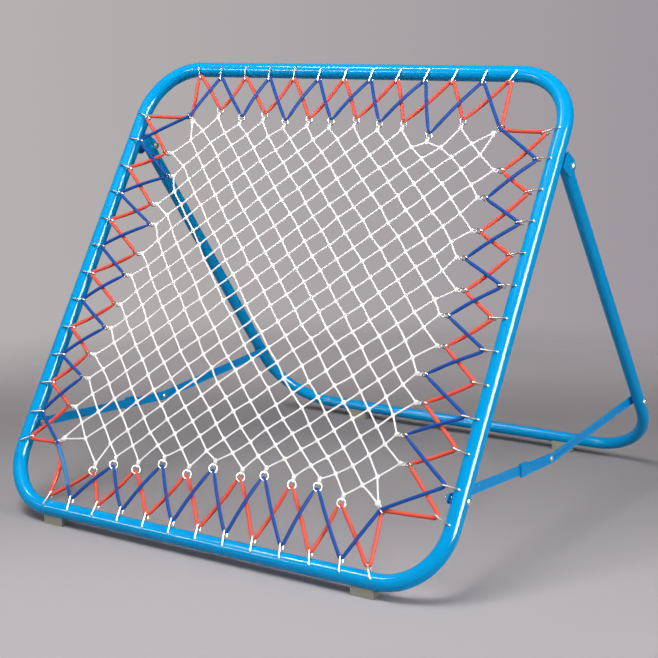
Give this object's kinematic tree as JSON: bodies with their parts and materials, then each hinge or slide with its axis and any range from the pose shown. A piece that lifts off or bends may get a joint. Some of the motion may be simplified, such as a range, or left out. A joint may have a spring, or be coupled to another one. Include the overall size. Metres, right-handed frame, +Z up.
{
  "type": "folding rebound net frame",
  "caption": "Square steel tube frame with a knotted net on elastic cords, leaning on a hinged U-shaped rear leg that folds flat on locking stays.",
  "frame": {"origin": "middle of the footprint, on the floor plane that the foot pads rest on", "axes": "+X across to the right of someone facing the net, +Y from the net towards the rear leg, +Z up"},
  "size_m": [1.0104, 0.9974, 0.8621],
  "materials": {
    "blue_tube_paint": "gloss powder coat",
    "blue_bar_paint": "gloss powder coat",
    "zinc_plated_steel": "bright zinc plate",
    "galvanised_wire": "bright galvanised wire",
    "nickel_ring_steel": "nickel plate",
    "nylon": "natural nylon",
    "red_elastic_cord": "braided cover over rubber",
    "blue_elastic_cord": "braided cover over rubber",
    "red_sleeve": "shrunk tube",
    "blue_sleeve": "shrunk tube",
    "white_net_cord": "braided and knotted",
    "grey_rubber": "moulded, matt"
  },
  "bodies": {
    "frame": {"front_frame": "blue_tube_paint", "left_hinge_bracket": "blue_tube_paint", "right_hinge_bracket": "blue_tube_paint", "hinge_bolts": "zinc_plated_steel", "hinge_nuts": "zinc_plated_steel", "hinge_washers": "nylon", "front_stay_bolts": "zinc_plated_steel", "front_stay_nuts": "zinc_plated_steel", "front_stay_spacers": "zinc_plated_steel", "top_hooks": "galvanised_wire", "right_hooks": "galvanised_wire", "bottom_hooks": "galvanised_wire", "left_hooks": "galvanised_wire", "top_rings": "nickel_ring_steel", "right_rings": "nickel_ring_steel", "bottom_rings": "nickel_ring_steel", "left_rings": "nickel_ring_steel", "corner_rings": "nickel_ring_steel", "red_bungee": "red_elastic_cord", "blue_bungee": "blue_elastic_cord", "red_cord_sleeve": "red_sleeve", "blue_cord_sleeve": "blue_sleeve", "rebound_net": "white_net_cord", "front_feet": "grey_rubber", "front_foot_screws": "zinc_plated_steel"},
    "leg": {"rear_leg": "blue_tube_paint", "rear_feet": "grey_rubber", "rear_foot_screws": "zinc_plated_steel", "rear_stay_bolts": "zinc_plated_steel", "rear_stay_spacers": "zinc_plated_steel"},
    "left_front_stay": {"left_front_stay": "blue_bar_paint", "left_mid_rivet": "zinc_plated_steel"},
    "left_rear_stay": {"left_rear_stay": "blue_bar_paint", "left_rear_stay_nut": "zinc_plated_steel"},
    "right_front_stay": {"right_front_stay": "blue_bar_paint", "right_mid_rivet": "zinc_plated_steel"},
    "right_rear_stay": {"right_rear_stay": "blue_bar_paint", "right_rear_stay_nut": "zinc_plated_steel"}
  },
  "joints": [
    {"name": "leg_fold", "type": "hinge", "parent": "frame", "child": "leg", "pos_m": [0, -0.01239, 0.68793], "axis": [-1, 0, 0], "range_deg": [0, 66]},
    {"name": "left_front_stay_swing", "type": "hinge", "parent": "frame", "child": "left_front_stay", "pos_m": [-0.4655, -0.39617, 0.16647], "axis": [1, 0, 0], "range_deg": [0, 54.12]},
    {"name": "left_stay_knee", "type": "hinge", "parent": "left_front_stay", "child": "left_rear_stay", "pos_m": [-0.4675, -0.00933, 0.13648], "axis": [-1, 0, 0], "range_deg": [0, 176.52]},
    {"name": "right_front_stay_swing", "type": "hinge", "parent": "frame", "child": "right_front_stay", "pos_m": [0.4655, -0.39617, 0.16647], "axis": [1, 0, 0], "range_deg": [0, 54.12]},
    {"name": "right_stay_knee", "type": "hinge", "parent": "right_front_stay", "child": "right_rear_stay", "pos_m": [0.4675, -0.00933, 0.13648], "axis": [-1, 0, 0], "range_deg": [0, 176.52]}
  ],
  "couplings": [
    {"joint": "left_front_stay_swing", "follows": "leg_fold", "ratio": 0.81238},
    {"joint": "left_stay_knee", "follows": "leg_fold", "ratio": 2.6669},
    {"joint": "right_front_stay_swing", "follows": "leg_fold", "ratio": 0.81238},
    {"joint": "right_stay_knee", "follows": "leg_fold", "ratio": 2.6669}
  ]
}
